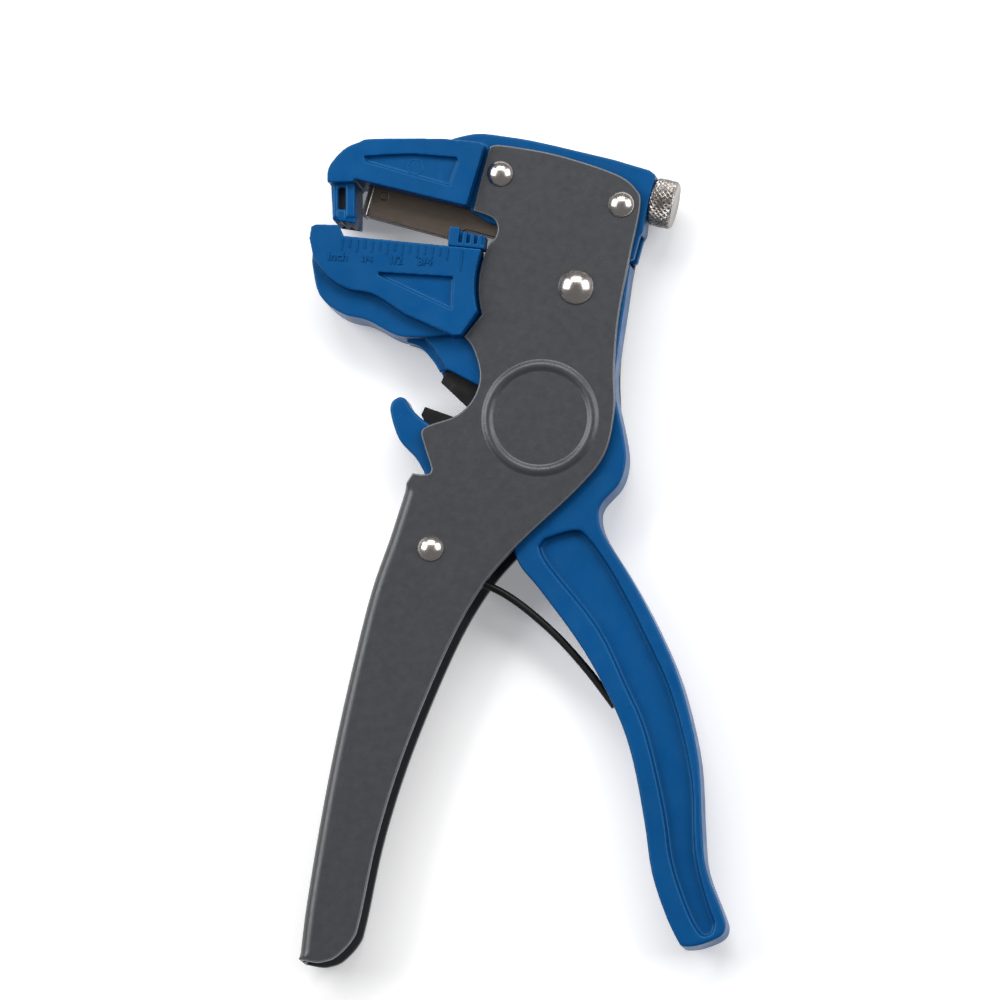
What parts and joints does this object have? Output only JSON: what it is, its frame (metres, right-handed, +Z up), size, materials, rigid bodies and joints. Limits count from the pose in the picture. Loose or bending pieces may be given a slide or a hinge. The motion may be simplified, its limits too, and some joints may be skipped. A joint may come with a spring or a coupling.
{
  "type": "wire stripper",
  "caption": "Duck-bill automatic wire stripper with clamping jaws, pull-back blades, pressure screw, length stop and a wire cutter in the hook of the handle.",
  "frame": {"origin": "middle of the tool's box on the surface that it lies on", "axes": "+Y from the handles to the jaws, +Z up out of the front plate, +X to the moving handle's side"},
  "size_m": [0.089, 0.1738, 0.017],
  "materials": {
    "plate_paint": "satin grey paint with fine specks",
    "blue_plastic": "moulded, satin",
    "nickel": "bright nickel plate",
    "bright_steel": "ground",
    "blade_strip_steel": "tempered brown-grey",
    "black_steel": "black oxide",
    "brass": "turned",
    "spring_steel": "drawn wire"
  },
  "bodies": {
    "frame": {"front_plate": "plate_paint", "rear_plate": "plate_paint", "upper_jaw": "blue_plastic", "upper_grip_pad": "black_steel", "jaw_rivets": "nickel", "main_rivet": "nickel", "spring_rivet": "nickel", "pivot_axle": "bright_steel", "spring_sleeve": "bright_steel", "screw_bush": "brass", "pressure_shoe": "bright_steel"},
    "handle": {"moving_handle": "blue_plastic", "lower_cutter": "black_steel", "lower_cutter_pin": "bright_steel", "draw_pin": "bright_steel"},
    "lower_jaw": {"lower_jaw": "blue_plastic", "lower_grip_pad": "black_steel", "upper_cutter": "black_steel", "upper_cutter_pin": "bright_steel"},
    "upper_blade": {"upper_blade_strip": "blade_strip_steel", "upper_stripping_blade": "bright_steel", "upper_blade_pin": "bright_steel"},
    "lower_blade": {"lower_blade_strip": "blade_strip_steel", "lower_stripping_blade": "bright_steel", "lower_blade_pin": "bright_steel"},
    "length_stop": {"length_stop": "blue_plastic"},
    "pressure_screw": {"pressure_screw": "nickel"},
    "pressure_nut": {"pressure_nut": "brass", "pressure_spring": "spring_steel"},
    "return_spring": {"return_spring": "black_steel"}
  },
  "joints": [
    {"name": "handle_squeeze", "type": "hinge", "parent": "frame", "child": "handle", "pos_m": [0.00609, 0.0263, 0.0085], "axis": [0, 0, -1], "range_deg": [0, 20], "stiffness_Nm_per_rad": 0.5, "springref_deg": -17.19},
    {"name": "jaw_close", "type": "hinge", "parent": "frame", "child": "lower_jaw", "pos_m": [0.01359, 0.0538, 0.0085], "axis": [0, 0, -1], "range_deg": [0, 6]},
    {"name": "blade_pull", "type": "slide", "parent": "frame", "child": "upper_blade", "axis": [0.9613, -0.2756, 0], "range_m": [0, 0.0136]},
    {"name": "lower_blade_pull", "type": "slide", "parent": "lower_jaw", "child": "lower_blade", "axis": [0.9934, -0.1149, 0], "range_m": [0, 0.01315]},
    {"name": "length_set", "type": "slide", "parent": "lower_jaw", "child": "length_stop", "axis": [-0.9934, 0.1149, 0], "range_m": [0, 0.017]},
    {"name": "screw_turn", "type": "hinge", "parent": "frame", "child": "pressure_screw", "pos_m": [0.03144, 0.07195, 0.0085], "axis": [-0.9724, 0.2334, 0], "range_deg": [-720, 720]},
    {"name": "nut_travel", "type": "slide", "parent": "frame", "child": "pressure_nut", "axis": [-0.9724, 0.2334, 0], "range_m": [-0.001, 0.001], "deforming": ["pressure_spring"]},
    {"name": "spring_swing", "type": "hinge", "parent": "frame", "child": "return_spring", "pos_m": [-0.01691, -0.0007, 0.0085], "axis": [0, 0, -1], "range_deg": [0, 30], "deforming": ["return_spring"]}
  ],
  "couplings": [
    {"joint": "jaw_close", "follows": "handle_squeeze", "ratio": 0.29999},
    {"joint": "blade_pull", "follows": "handle_squeeze", "m_per_rad": 0.038935},
    {"joint": "lower_blade_pull", "follows": "handle_squeeze", "m_per_rad": 0.037633},
    {"joint": "spring_swing", "follows": "handle_squeeze", "ratio": 1.4545},
    {"joint": "screw_turn", "follows": "nut_travel", "rad_per_m": -12566}
  ]
}
